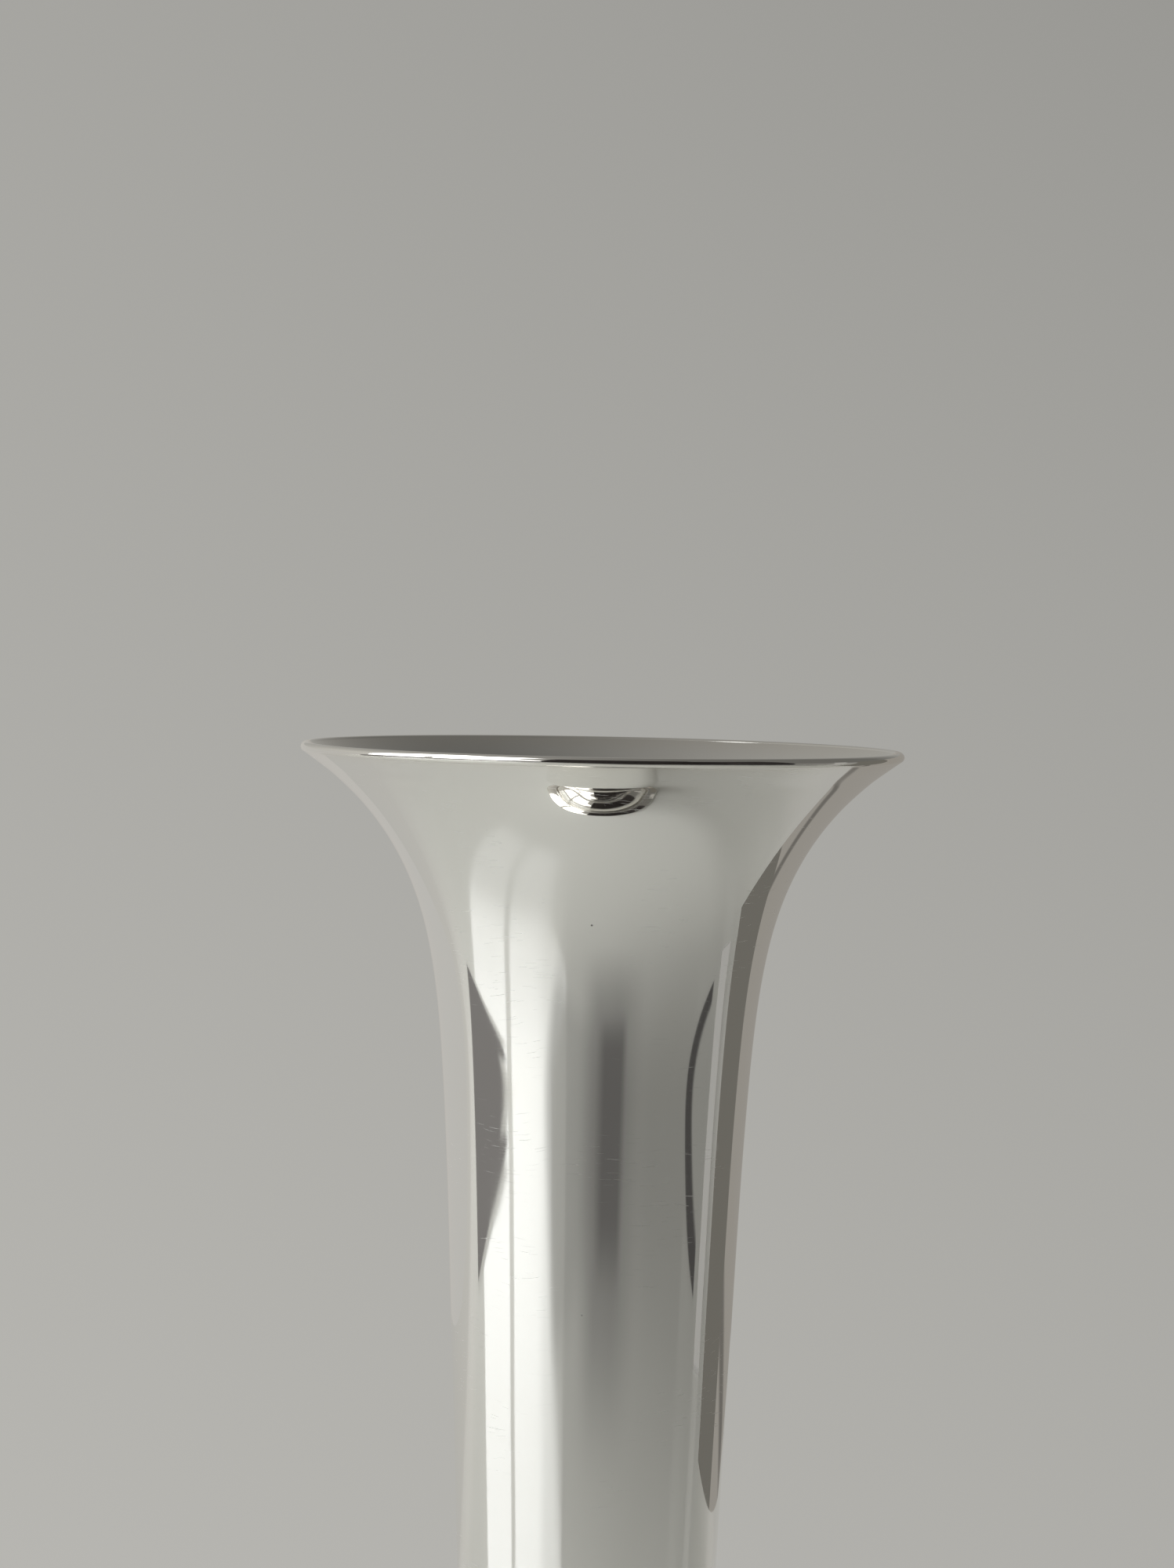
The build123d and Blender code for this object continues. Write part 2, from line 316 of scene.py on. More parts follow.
def silver(name, tint, dull=0.0, scratches=1.0, joint=0.5, rim=0.3, seed=0.0):
    """Polished silver plate: haze, hairline scratches, specks and a trace of tarnish at the joints."""
    n = Nodes(name)
    coord = n.new("ShaderNodeTexCoord").outputs["Object"]
    axes = n.new("ShaderNodeSeparateXYZ")
    n.link(coord, axes.inputs[0])
    x, y, z = axes.outputs
    radius = n.math("SQRT", n.math("ADD", n.math("MULTIPLY", x, x), n.math("MULTIPLY", y, y)))
    angle = n.math("ARCTAN2", x, n.math("MULTIPLY", y, -1.0))
    around = n.math("MULTIPLY", angle, radius)
    sheet = n.combine(around, n.math("ADD", z, n.math("MULTIPLY", radius, 0.6)), seed)

    # Hairlines left by wiping: thin, sparse and slightly bent dashes in several directions.
    bent = n.new("ShaderNodeVectorMath", operation="ADD")
    sway = n.combine(0.0, n.math("MULTIPLY", n.noise(coord, scale=90.0, detail=1.0), 0.004), 0.0)
    n.link(sheet, bent.inputs[0])
    n.link(sway, bent.inputs[1])
    lines = None
    for turn, along, across, low, shift in (
        (0.16, 170.0, 9000.0, 0.875, 0.3),
        (-0.62, 230.0, 9000.0, 0.86, 1.7),
        (0.85, 210.0, 9500.0, 0.86, 2.9),
        (1.75, 300.0, 9500.0, 0.865, 4.1),
        (2.45, 260.0, 9500.0, 0.865, 5.7),
    ):
        v = n.mapping(
            bent.outputs[0], rotation=(0, 0, turn), scale=(along, across, 1.0), location=(shift, shift * 7 + seed, 0)
        )
        dash = n.ramp(n.noise(v, dims="2D"), low, low + 0.04)
        lines = dash if lines is None else n.math("MAXIMUM", lines, dash)
    patch = n.ramp(n.noise(coord, scale=75.0, detail=1.0), 0.42, 0.68, 0.08, 1.0)
    lines = n.math("MULTIPLY", lines, n.math("MULTIPLY", patch, scratches))

    # Marks of the lathe, round the body.
    spun = n.noise(n.mapping(sheet, scale=(6.0, 5200.0, 1.0)), dims="2D", detail=1.0)
    spun = n.ramp(spun, 0.3, 0.72, 0.0, 1.0)
    # Breath-like haze, and drops that dried.
    haze = n.ramp(n.noise(coord, scale=48.0, detail=3.0, rough=0.55), 0.42, 0.72)
    spots = n.new("ShaderNodeTexVoronoi", feature="F1", voronoi_dimensions="3D")
    n.link(coord, spots.inputs["Vector"])
    spots.inputs["Scale"].default_value = 190.0
    pick = n.new("ShaderNodeSeparateColor")
    n.link(spots.outputs["Color"], pick.inputs[0])
    speck = n.math(
        "MULTIPLY",
        n.ramp(spots.outputs["Distance"], 0.016, 0.034, 1.0, 0.0),
        n.ramp(pick.outputs[0], 0.70, 0.74),
    )
    dry = n.math(
        "MULTIPLY",
        n.ramp(spots.outputs["Distance"], 0.10, 0.16, 1.0, 0.0),
        n.ramp(pick.outputs[1], 0.86, 0.9),
    )

    # Tarnish creeps out from the soldered joints.
    grain = n.noise(coord, scale=260.0, detail=4.0, rough=0.6)
    low = n.ramp(n.math("ADD", z, n.math("MULTIPLY", grain, 0.004)), 0.0160, 0.0210, joint, 0.0)
    high = n.ramp(n.math("ADD", z, n.math("MULTIPLY", grain, 0.0012)), 0.1506, 0.1529, 0.0, rim)
    cloud = n.ramp(n.noise(coord, scale=30.0, detail=4.0, rough=0.6), 0.5, 0.8, 0.0, 0.22)
    tarnish = n.math("MAXIMUM", n.math("MAXIMUM", low, high), cloud)

    warm = rgb(tint[0] * 0.93, tint[1] * 0.88, tint[2] * 0.80)
    colour = n.mix(tarnish, rgb(*tint), warm)
    colour = n.mix(n.math("MULTIPLY", speck, 0.8), colour, rgb(0.16, 0.14, 0.12))
    colour = n.mix(n.math("MULTIPLY", lines, 0.35), colour, rgb(0.97, 0.97, 0.96))
    n.link(colour, n.bsdf.inputs["Base Color"])

    rough = n.math("MULTIPLY_ADD", haze, 0.022, 0.014 + dull)
    rough = n.math("MULTIPLY_ADD", spun, 0.012, rough)
    rough = n.math("MULTIPLY_ADD", tarnish, 0.06, rough)
    rough = n.math("MULTIPLY_ADD", dry, 0.06, rough)
    rough = n.math("MULTIPLY_ADD", lines, 0.34, rough)
    rough = n.math("MULTIPLY_ADD", speck, 0.4, rough, clamp=True)
    n.link(rough, n.bsdf.inputs["Roughness"])
    n.bsdf.inputs["Metallic"].default_value = 1.0
    return n.mat


SILVER = (0.93, 0.922, 0.895)
silver_out = silver("silver_polished", SILVER)
silver_in = silver("silver_inside", (0.885, 0.87, 0.835), dull=0.05, scratches=0.5, joint=1.0, seed=5.0)
silver_wire = silver("silver_wire", (0.92, 0.91, 0.88), scratches=0.5, joint=0.3, rim=0.25, seed=9.0)
silver_foot = silver("silver_foot", SILVER, scratches=1.2, joint=0.35, seed=13.0)
silver_cup = silver("silver_cup", (0.80, 0.78, 0.73), dull=0.16, scratches=0.3, joint=1.0, seed=21.0)


def felt():
    n = Nodes("baize_felt")
    coord = n.new("ShaderNodeTexCoord").outputs["Object"]
    clumps = n.noise(coord, scale=420.0, detail=5.0, rough=0.65)
    fibres = n.noise(n.mapping(coord, rotation=(0, 0, 0.6), scale=(900.0, 5200.0, 2000.0)), detail=2.0)
    cross = n.noise(n.mapping(coord, rotation=(0, 0, -0.9), scale=(1000.0, 5600.0, 2000.0)), detail=2.0)
    hair = n.math("MAXIMUM", fibres, cross)
    worn = n.ramp(n.noise(coord, scale=70.0, detail=3.0), 0.45, 0.75)
    colour = n.mix(n.ramp(clumps, 0.3, 0.75), rgb(0.020, 0.060, 0.038), rgb(0.050, 0.125, 0.082))
    colour = n.mix(n.ramp(hair, 0.58, 0.78, 0.0, 0.65), colour, rgb(0.095, 0.19, 0.135))
    colour = n.mix(n.math("MULTIPLY", worn, 0.35), colour, rgb(0.11, 0.15, 0.12))
    n.link(colour, n.bsdf.inputs["Base Color"])
    n.bsdf.inputs["Roughness"].default_value = 0.95
    n.bsdf.inputs["Specular IOR Level"].default_value = 0.15
    n.bsdf.inputs["Sheen Weight"].default_value = 0.35
    n.bsdf.inputs["Sheen Roughness"].default_value = 0.6
    bump = n.new("ShaderNodeBump")
    bump.inputs["Strength"].default_value = 0.7
    bump.inputs["Distance"].default_value = 0.00012
    n.link(n.math("MULTIPLY_ADD", hair, 0.6, clumps), bump.inputs["Height"])
    n.link(bump.outputs[0], n.bsdf.inputs["Normal"])
    return n.mat


def sheet_brass():
    n = Nodes("plate_brass")
    coord = n.new("ShaderNodeTexCoord").outputs["Object"]
    brushed = n.noise(n.mapping(coord, scale=(120.0, 6000.0, 400.0)), detail=2.0)
    stain = n.ramp(n.noise(coord, scale=60.0, detail=4.0, rough=0.6), 0.4, 0.72)
    colour = n.mix(stain, rgb(0.74, 0.58, 0.30), rgb(0.42, 0.30, 0.15))
    n.link(colour, n.bsdf.inputs["Base Color"])
    rough = n.math("MULTIPLY_ADD", brushed, 0.16, 0.24)
    n.link(n.math("MULTIPLY_ADD", stain, 0.2, rough), n.bsdf.inputs["Roughness"])
    n.bsdf.inputs["Metallic"].default_value = 1.0
    return n.mat


def cast_filling():
    n = Nodes("foot_composition")
    coord = n.new("ShaderNodeTexCoord").outputs["Object"]
    grit = n.noise(coord, scale=900.0, detail=4.0, rough=0.7)
    cloud = n.noise(coord, scale=140.0, detail=3.0)
    colour = n.mix(n.ramp(cloud, 0.35, 0.7), rgb(0.36, 0.32, 0.28), rgb(0.50, 0.46, 0.41))
    colour = n.mix(n.ramp(grit, 0.55, 0.75), colour, rgb(0.25, 0.22, 0.19))
    n.link(colour, n.bsdf.inputs["Base Color"])
    n.link(n.math("MULTIPLY_ADD", grit, 0.2, 0.7), n.bsdf.inputs["Roughness"])
    bump = n.new("ShaderNodeBump")
    bump.inputs["Strength"].default_value = 0.5
    bump.inputs["Distance"].default_value = 0.0002
    n.link(grit, bump.inputs["Height"])
    n.link(bump.outputs[0], n.bsdf.inputs["Normal"])
    return n.mat


def place(obj, node, slot, *materials):
    for m in materials:
        obj.data.materials.append(m)
    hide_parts(node)
    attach(obj, "root")
    return obj


# ------------------------------------------------------------------ the vase
SEG = 288
uneven = ripples(3, 0.006)

# Body: outside up to the rim wire, the hollow that holds the wire, inside, lower end.
z_out, z_in = meets_wire(False), meets_wire(True)
heights = np.concatenate([
    np.linspace(JOINT_Z, RIM_Z - 71.2, 30, endpoint=False),
    np.linspace(RIM_Z - 71.2, RIM_Z - 31.2, 45, endpoint=False),
    np.linspace(RIM_Z - 31.2, RIM_Z - 8.4, 52, endpoint=False),
    np.linspace(RIM_Z - 8.4, z_out, 40),
])
outside = wall(heights)
tube_low = wall([JOINT_Z + 0.0], inside=True)[0]
h_in = np.concatenate([
    np.linspace(z_in, RIM_Z - 8.4, 30, endpoint=False),
    np.linspace(RIM_Z - 8.4, RIM_Z - 31.2, 40, endpoint=False),
    np.linspace(RIM_Z - 31.2, RIM_Z - 71.2, 32, endpoint=False),
    np.linspace(RIM_Z - 71.2, JOINT_Z, 24),
])
inside = wall(h_in, inside=True)
inside[-1] = (inside[-1][0] - (inside[-1][1] - JOINT_Z) * math.tan(WALL_LEAN[0]), JOINT_Z)


def on_wire(p):
    return math.degrees(math.atan2(p[1] - RIM_Z, p[0] - RIM_R))


a0, a1 = on_wire(outside[-1]), on_wire(inside[0])
seat = arc_run((RIM_R, RIM_Z), RIM_WIRE, a0, a1, 9)
seat[0], seat[-1] = outside[-1], inside[0]
body, runs = lathe(
    "trumpet_body_spun",
    [outside, seat, inside, line_run(inside[-1], outside[0], 2)],
    SEG,
    ripple=uneven,
)
place(body, "trumpet_body", "silver", silver_out, silver_in)
body.data.polygons.foreach_set("material_index", [0 if r in (0, 3) else 1 for r in runs])

# Rim wire.
rim, _ = lathe(
    "rim_wire_round", [arc_run((RIM_R, RIM_Z), RIM_WIRE, -135, 225, 29)], SEG, ripple=uneven
)
place(rim, "rim_wire", "silver_wire", silver_wire)

# Bottom of the body: disc with its edge turned up.
cup_top = JOINT_Z + 1.4
tube_r = wall([JOINT_Z, cup_top], inside=True)[:, 0]
lip_r = tube_r[1] - 0.7
cup, _ = lathe(
    "body_bottom_disc",
    [
        line_run((0, JOINT_Z), (tube_r[0], JOINT_Z), 6),
        line_run((tube_r[0], JOINT_Z), (tube_r[1], cup_top - 0.1), 3),
        line_run((tube_r[1], cup_top - 0.1), (tube_r[1] - 0.1, cup_top), 2),
        line_run((tube_r[1] - 0.1, cup_top), (lip_r + 0.1, cup_top), 2),
        arc_run((lip_r + 0.1, cup_top - 0.1), 0.1, 90, 180, 4),
        line_run((lip_r, cup_top - 0.1), (lip_r, JOINT_Z + 1.2), 2),
        arc_run((lip_r - 0.5, JOINT_Z + 1.2), 0.5, 0, -90, 9),
        eased_line((lip_r - 0.5, JOINT_Z + 0.7), (0, JOINT_Z + 0.7), 16),
    ],
    144,
    closed=False,
)
place(cup, "body_bottom", "silver_inside", silver_cup)

# Half-round collar over the joint.
foot_in = float(np.interp(JOINT_Z, WALL_Z, WALL_R))
collar_in = float(np.interp(JOINT_Z + COLLAR_H, WALL_Z, WALL_R))
collar_out = foot_in + COLLAR_W
cx, cz, cr = circle_through(
    (collar_out, JOINT_Z), (collar_out + 0.01, JOINT_Z + 0.6 * COLLAR_H), (collar_in, JOINT_Z + COLLAR_H)
)
b0 = math.degrees(math.atan2(JOINT_Z - cz, collar_out - cx))
b1 = math.degrees(math.atan2(JOINT_Z + COLLAR_H - cz, collar_in - cx))
collar_arc = arc_run((cx, cz), cr, b0, b1, 15)
collar_arc[0], collar_arc[-1] = (collar_out, JOINT_Z), (collar_in, JOINT_Z + COLLAR_H)
collar, _ = lathe(
    "collar_ring_halfround",
    [
        line_run((foot_in, JOINT_Z), (collar_out, JOINT_Z), 2),
        collar_arc,
        line_run((collar_in, JOINT_Z + COLLAR_H), (foot_in, JOINT_Z), 3),
    ],
    SEG,
)
place(collar, "collar_ring", "silver_wire", silver_wire)

# Foot: seat, dome, step, flange with a rounded edge, and the hollow underneath.
dx, dz, dr = circle_through(*DOME)


def on_dome(p):
    return math.degrees(math.atan2(p[1] - dz, p[0] - dx))


d0, d1 = on_dome(DOME[0]), on_dome(DOME[2])
dome = arc_run((dx, dz), dr, d0 - 0.8, d1, 44)
dome_start = dome[0]
inner_r = dr - SHEET
under_z = JOINT_Z - SHEET
wall_in = DOME[2][0] - SHEET
in_top = (dx + math.sqrt(inner_r**2 - (under_z - dz) ** 2), under_z)
in_end = (wall_in, dz + math.sqrt(inner_r**2 - (wall_in - dx) ** 2))
hollow = arc_run((dx, dz), inner_r, on_dome(in_end), on_dome(in_top), 16)
hollow[0], hollow[-1] = in_end, in_top
edge_x = FOOT_R - EDGE_W
run_r, run_z = edge_x - DOME[2][0], FLANGE_OUT - FLANGE_IN
chord = math.hypot(run_r, run_z)
flange_r = chord / (2 * math.sin(math.radians(FLANGE_TURN / 2)))
drop = flange_r * math.cos(math.radians(FLANGE_TURN / 2)) / chord
fx, fz = (DOME[2][0] + edge_x) / 2 + run_z * drop, (FLANGE_IN + FLANGE_OUT) / 2 - run_r * drop


def on_flange(r, z):
    return math.degrees(math.atan2(z - fz, r - fx))


f0, f1 = on_flange(DOME[2][0], FLANGE_IN), on_flange(edge_x, FLANGE_OUT)
edge_r = EDGE_W / (1 - math.cos(math.radians(f1)))
edge_z = FLANGE_OUT - edge_r * math.sin(math.radians(f1))
under_r = flange_r - SHEET
under_end = (wall_in, fz + math.sqrt(under_r**2 - (wall_in - fx) ** 2))
under = arc_run((fx, fz), under_r, on_flange(FOOT_R - SHEET, PLATE_TOP), on_flange(*under_end), 12)
under[0], under[-1] = (FOOT_R - SHEET, PLATE_TOP), under_end
foot, _ = lathe(
    "foot_shell_spun",
    [
        eased_line((SEAT_HOLE, JOINT_Z), (DOME[0][0] - 0.18, JOINT_Z), 5),
        np.array([
            (DOME[0][0] - 0.18, JOINT_Z), (DOME[0][0] - 0.08, JOINT_Z - 0.02),
            (DOME[0][0] - 0.01, JOINT_Z - 0.06), tuple(dome_start),
        ]),
        dome,
        line_run(DOME[2], (DOME[2][0], FLANGE_IN), 3),
        arc_run((fx, fz), flange_r, f0, f1, 25),
        arc_run((FOOT_R - edge_r, edge_z), edge_r, f1, 0, 13),
        line_run((FOOT_R, edge_z), (FOOT_R, 0.62), 3),
        arc_run((FOOT_R - 0.12, 0.62), 0.12, 0, -90, 5),
        line_run((FOOT_R - 0.12, 0.5), (FOOT_R - SHEET + 0.1, 0.5), 3),
        arc_run((FOOT_R - SHEET + 0.1, 0.6), 0.1, -90, -180, 4),
        line_run((FOOT_R - SHEET, 0.6), (FOOT_R - SHEET, PLATE_TOP), 3),
        under,
        line_run(under_end, in_end, 3),
        hollow,
        line_run(in_top, (SEAT_HOLE, under_z), 4),
        line_run((SEAT_HOLE, under_z), (SEAT_HOLE, JOINT_Z), 2),
    ],
    SEG,
    ripple=ripples(8, 0.004),
)
place(foot, "foot_shell", "silver", silver_foot)

# Wire on the step of the foot.
wire_z = fz + math.sqrt((flange_r + FOOT_WIRE) ** 2 - (FOOT_WIRE_R - fx) ** 2)
step, _ = lathe("foot_wire_round", [arc_run((FOOT_WIRE_R, wire_z), FOOT_WIRE, -135, 225, 25)], SEG)
place(step, "foot_wire", "silver_wire", silver_wire)

# Felt: soft edge, a little uneven underneath.
pad, _ = lathe(
    "baize_pad_felt",
    [
        np.concatenate([
            eased_line((0, 0.0), (PAD_R - 0.3, 0.0), 44),
            arc_run((PAD_R - 0.3, 0.3), 0.3, -90, 0, 7)[1:],
            arc_run((PAD_R - 0.3, 0.4), 0.3, 0, 90, 7)[1:],
            eased_line((PAD_R - 0.3, 0.7), (0, 0.7), 12)[1:],
        ])
    ],
    180,
    closed=False,
)
rng = np.random.RandomState(17)
co = np.zeros(len(pad.data.vertices) * 3, np.float32)
pad.data.vertices.foreach_get("co", co)
co = co.reshape(-1, 3)
rad = np.hypot(co[:, 0], co[:, 1])
fuzz = rng.uniform(0, 1, len(co))
below = co[:, 2] < 0.00005
co[:, 2] += np.where(below & (rad > 0.001), fuzz**2 * 0.00005, 0)
edge = rad > (PAD_R - 0.3) / 1000
pull = 1 - np.where(edge, fuzz * 0.00012 / np.maximum(rad, 1e-6), 0)
co[:, 0] *= pull
co[:, 1] *= pull
pad.data.vertices.foreach_set("co", co.ravel())
pad.data.update()
place(pad, "baize_pad", "baize", felt())

# Plate and filling stay as they are and get their finishes.
for node, mat in (("base_plate", sheet_brass()), ("foot_filling", cast_filling())):
    nodes[node].data.materials.clear()
    nodes[node].data.materials.append(mat)

# ------------------------------------------------------------------ stage
def card(name, corners, material, camera=False, glossy=True, diffuse=True):
    mesh = bpy.data.meshes.new(name)
    mesh.from_pydata([tuple(map(float, c)) for c in corners], [], [tuple(range(len(corners)))])
    obj = bpy.data.objects.new(name, mesh)
    scene.collection.objects.link(obj)
    mesh.materials.append(material)
    obj.visible_camera = camera
    obj.visible_glossy = glossy
    obj.visible_diffuse = diffuse
    return obj


def glow(name, colour, strength):
    mat = bpy.data.materials.new(name)
    mat.use_nodes = True
    t = mat.node_tree
    t.nodes.clear()
    e, o = t.nodes.new("ShaderNodeEmission"), t.nodes.new("ShaderNodeOutputMaterial")
    e.inputs[0].default_value = rgb(*colour)
    e.inputs[1].default_value = strength
    t.links.new(e.outputs[0], o.inputs[0])
    return mat


def paint(name, colour, rough=0.9, specular=0.0):
    mat = bpy.data.materials.new(name)
    mat.use_nodes = True
    b = mat.node_tree.nodes["Principled BSDF"]
    b.inputs["Base Color"].default_value = rgb(*colour)
    b.inputs["Roughness"].default_value = rough
    b.inputs["Specular IOR Level"].default_value = specular
    return mat


def upright(name, az0, az1, dist, z0, z1, material, **kw):
    """A flat upright card seen from the vase between two azimuths, 0 towards -Y and 90 towards +X."""
    a = [math.radians(v) for v in (az0, az1)]
    p = [(dist * math.sin(v), -dist * math.cos(v)) for v in a]
    return card(name, [(*p[0], z0), (*p[1], z0), (*p[1], z1), (*p[0], z1)], material, **kw)


# Colour of the plain surround and how its brightness runs: darker upwards and to the right.
SURROUND = (1.0, 0.985, 0.93)
LEVEL, BY_HEIGHT, BY_SIDE, OVERHEAD = 0.388, -0.26, -0.16, 0.075
FOCAL = 5000.0
EYE = (0.0, -math.sqrt((FOCAL / 385.1) ** 2 + 1) * UNIT / 1000, (RIM_Z + 0.4758 * UNIT) / 1000)


def surround_level(n, side, height):
    """Brightness of the surround in a direction, given its sideways and upward parts."""
    v = n.math("MULTIPLY_ADD", height, BY_HEIGHT, LEVEL)
    v = n.math("MULTIPLY_ADD", side, BY_SIDE, v)
    high = n.math("MAXIMUM", height, 0.0)
    above = n.math("MULTIPLY", side, n.math("MINIMUM", high, 0.3))
    v = n.math("MULTIPLY_ADD", above, -0.3, v)
    v = n.math("MULTIPLY_ADD", n.math("MULTIPLY", high, high), OVERHEAD, v)
    return n.math("MINIMUM", n.math("MAXIMUM", v, 0.14), 0.6)


def floor_paint(name="floor_pale"):
    """Pale satin floor that melts into the plain surround behind the vase and far away, where a painted glow at the
    surround's brightness takes the place of lit paint.
    """
    n = Nodes(name)
    axes = n.new("ShaderNodeSeparateXYZ")
    n.link(n.new("ShaderNodeTexCoord").outputs["Object"], axes.inputs[0])
    x, y, _z = axes.outputs
    far = n.math("SQRT", n.math("ADD", n.math("MULTIPLY", x, x), n.math("MULTIPLY", y, y)))
    fade = n.math("MAXIMUM", n.ramp(y, 0.07, 0.19), n.ramp(far, 0.6, 1.3))
    # Direction of each place from the fixed viewing point, so that the fade meets the surround.
    away = n.math("SUBTRACT", y, EYE[1])
    reach = n.math("ADD", n.math("MULTIPLY", x, x), n.math("MULTIPLY", away, away))
    reach = n.math("SQRT", n.math("ADD", reach, EYE[2] ** 2))
    side, height = n.math("DIVIDE", x, reach), n.math("DIVIDE", -EYE[2], reach)
    # Painted glow: the faded part turns black and glows with the surround's colour and level.
    n.link(n.mix(fade, rgb(0.875, 0.872, 0.822), rgb(0.0, 0.0, 0.0)), n.bsdf.inputs["Base Color"])
    n.bsdf.inputs["Emission Color"].default_value = rgb(*SURROUND)
    n.link(n.math("MULTIPLY", fade, surround_level(n, side, height)), n.bsdf.inputs["Emission Strength"])
    n.bsdf.inputs["Roughness"].default_value = 0.15
    n.link(n.math("MULTIPLY", n.math("SUBTRACT", 1.0, fade), 0.5), n.bsdf.inputs["Specular IOR Level"])
    return n.mat


def soft_glow():
    """Soft light over height: dim low down, strongest above, soft at the top and at the right end."""
    mat = glow("softbox", (0.975, 0.99, 1.0), 1.0)
    t = mat.node_tree
    e = t.nodes["Emission"]
    axes, curve = t.nodes.new("ShaderNodeSeparateXYZ"), t.nodes.new("ShaderNodeFloatCurve")
    t.links.new(t.nodes.new("ShaderNodeTexCoord").outputs["Object"], axes.inputs[0])
    scale = t.nodes.new("ShaderNodeMath")
    scale.operation = "DIVIDE"
    t.links.new(axes.outputs[2], scale.inputs[0])
    scale.inputs[1].default_value = SOFT_TOP
    t.links.new(scale.outputs[0], curve.inputs["Value"])
    line = curve.mapping.curves[0]
    for k, (z, v) in enumerate(SOFT):
        if k < 2:
            line.points[k].location = (z / SOFT_TOP, v / SOFT_MAX)
        else:
            line.points.new(z / SOFT_TOP, v / SOFT_MAX)
    for pt in line.points:
        pt.handle_type = "AUTO_CLAMPED"
    curve.mapping.update()
    gain = t.nodes.new("ShaderNodeMath")
    gain.operation = "MULTIPLY"
    t.links.new(curve.outputs[0], gain.inputs[0])
    gain.inputs[1].default_value = SOFT_MAX
    end = t.nodes.new("ShaderNodeMapRange")
    end.interpolation_type = "SMOOTHSTEP"
    t.links.new(axes.outputs[0], end.inputs[0])
    for k, v in enumerate((-0.75, -0.60, 1.0, 0.66), 1):
        end.inputs[k].default_value = v
    both = t.nodes.new("ShaderNodeMath")
    both.operation = "MULTIPLY"
    t.links.new(gain.outputs[0], both.inputs[0])
    t.links.new(end.outputs[0], both.inputs[1])
    t.links.new(both.outputs[0], e.inputs[1])
    return mat


# Brightness of the soft light against height in metres.
SOFT_TOP, SOFT_MAX = 2.3, 4.2
SOFT = ((0.0, 2.0), (0.2, 2.3), (0.35, 2.9), (0.55, 3.9), (0.9, 2.4), (1.4, 3.0), (2.0, 2.6), (2.3, 0.4))

card("floor", [(-8, -8, 0), (8, -8, 0), (8, 8, 0), (-8, 8, 0)], floor_paint(), camera=True)


# Corner of the pale and the shaded reflector, and the near end of the shaded one.
CORNER, SIDE_END = (0.183, 0.147), (0.2513, 0.0666)


